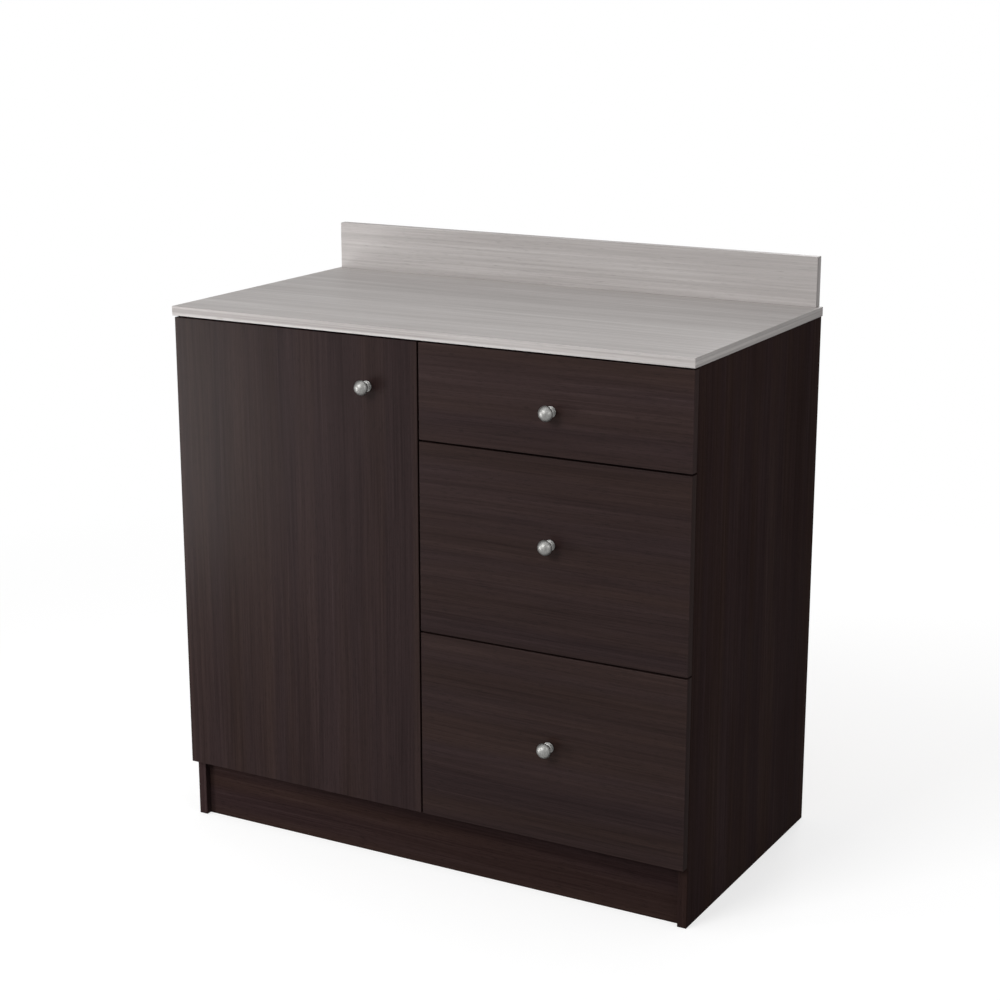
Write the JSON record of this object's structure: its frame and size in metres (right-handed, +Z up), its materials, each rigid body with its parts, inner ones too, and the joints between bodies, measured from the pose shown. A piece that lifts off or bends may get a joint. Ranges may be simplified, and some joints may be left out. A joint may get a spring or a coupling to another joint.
{
  "type": "base kitchen cabinet",
  "caption": "Base kitchen cabinet with a hinged cupboard door beside stacked drawers, knobs, a recessed toe kick, a laminate worktop and a low backsplash.",
  "frame": {"origin": "on the floor, under the middle of the whole outline, knobs included", "axes": "+Z up, +X to the right as seen from the front, the front looks towards -Y"},
  "size_m": [0.904, 0.517, 0.95],
  "materials": {
    "espresso_laminate": "satin wood-grain laminate",
    "grey_laminate": "satin lined laminate",
    "hardboard": "matt",
    "drawer_laminate": "satin laminate",
    "satin_nickel": "satin",
    "zinc_steel": "bright zinc",
    "bright_steel": "bright",
    "beech": "raw",
    "clear_bumper": "soft"
  },
  "bodies": {
    "cabinet": {"left_side_panel": "espresso_laminate", "right_side_panel": "espresso_laminate", "center_divider": "espresso_laminate", "bottom_panel": "espresso_laminate", "toe_kick": "espresso_laminate", "rear_plinth": "espresso_laminate", "front_top_rail": "espresso_laminate", "rear_top_rail": "espresso_laminate", "back_panel": "hardboard", "countertop": "grey_laminate", "backsplash": "grey_laminate", "backsplash_screws": "zinc_steel", "cam_locks": "zinc_steel", "cam_bolts": "zinc_steel", "wood_dowels": "beech", "back_panel_nails": "bright_steel", "shelf": "espresso_laminate", "shelf_pins": "zinc_steel", "hinge_arm_pins": "zinc_steel", "hinge_plates": "zinc_steel", "hinge_arms": "zinc_steel", "hinge_plate_screws": "zinc_steel", "door_bumpers": "clear_bumper", "bottom_drawer_cabinet_rails": "zinc_steel", "rail_screws": "zinc_steel", "middle_drawer_cabinet_rails": "zinc_steel", "top_drawer_cabinet_rails": "zinc_steel"},
    "door": {"door_panel": "espresso_laminate", "door_knob": "satin_nickel", "door_screws": "zinc_steel", "hinge_cups": "zinc_steel", "hinge_cup_pins": "zinc_steel"},
    "hinge_links": {"hinge_links": "zinc_steel"},
    "bottom_drawer": {"bottom_drawer_front": "espresso_laminate", "bottom_drawer_knob": "satin_nickel", "bottom_drawer_fasteners": "zinc_steel", "bottom_drawer_bottom": "hardboard", "bottom_drawer_back": "drawer_laminate", "bottom_drawer_left_side": "drawer_laminate", "bottom_drawer_right_side": "drawer_laminate", "bottom_drawer_box_rails": "zinc_steel"},
    "bottom_drawer_rails": {"bottom_drawer_middle_rails": "zinc_steel"},
    "middle_drawer": {"middle_drawer_front": "espresso_laminate", "middle_drawer_knob": "satin_nickel", "middle_drawer_fasteners": "zinc_steel", "middle_drawer_bottom": "hardboard", "middle_drawer_back": "drawer_laminate", "middle_drawer_left_side": "drawer_laminate", "middle_drawer_right_side": "drawer_laminate", "middle_drawer_box_rails": "zinc_steel"},
    "middle_drawer_rails": {"middle_drawer_middle_rails": "zinc_steel"},
    "top_drawer": {"top_drawer_front": "espresso_laminate", "top_drawer_knob": "satin_nickel", "top_drawer_fasteners": "zinc_steel", "top_drawer_bottom": "hardboard", "top_drawer_back": "drawer_laminate", "top_drawer_left_side": "drawer_laminate", "top_drawer_right_side": "drawer_laminate", "top_drawer_box_rails": "zinc_steel"},
    "top_drawer_rails": {"top_drawer_middle_rails": "zinc_steel"}
  },
  "joints": [
    {"name": "hinge_link_turn", "type": "hinge", "parent": "cabinet", "child": "hinge_links", "pos_m": [-0.412, -0.2145, 0.199], "axis": [0, 0, 1], "range_deg": [0, 45.71]},
    {"name": "door_swing", "type": "hinge", "parent": "hinge_links", "child": "door", "pos_m": [-0.4371, -0.219, 0.199], "axis": [0, 0, -1], "range_deg": [0, 150.61]},
    {"name": "bottom_drawer_slide", "type": "slide", "parent": "cabinet", "child": "bottom_drawer", "axis": [0, -1, 0], "range_m": [0, 0.38]},
    {"name": "bottom_rail_slide", "type": "slide", "parent": "cabinet", "child": "bottom_drawer_rails", "axis": [0, -1, 0], "range_m": [0, 0.19]},
    {"name": "middle_drawer_slide", "type": "slide", "parent": "cabinet", "child": "middle_drawer", "axis": [0, -1, 0], "range_m": [0, 0.38]},
    {"name": "middle_rail_slide", "type": "slide", "parent": "cabinet", "child": "middle_drawer_rails", "axis": [0, -1, 0], "range_m": [0, 0.19]},
    {"name": "top_drawer_slide", "type": "slide", "parent": "cabinet", "child": "top_drawer", "axis": [0, -1, 0], "range_m": [0, 0.38]},
    {"name": "top_rail_slide", "type": "slide", "parent": "cabinet", "child": "top_drawer_rails", "axis": [0, -1, 0], "range_m": [0, 0.19]}
  ],
  "couplings": [
    {"joint": "hinge_link_turn", "follows": "door_swing", "ratio": 0.30284},
    {"joint": "bottom_rail_slide", "follows": "bottom_drawer_slide", "ratio": 0.5},
    {"joint": "middle_rail_slide", "follows": "middle_drawer_slide", "ratio": 0.5},
    {"joint": "top_rail_slide", "follows": "top_drawer_slide", "ratio": 0.5}
  ]
}
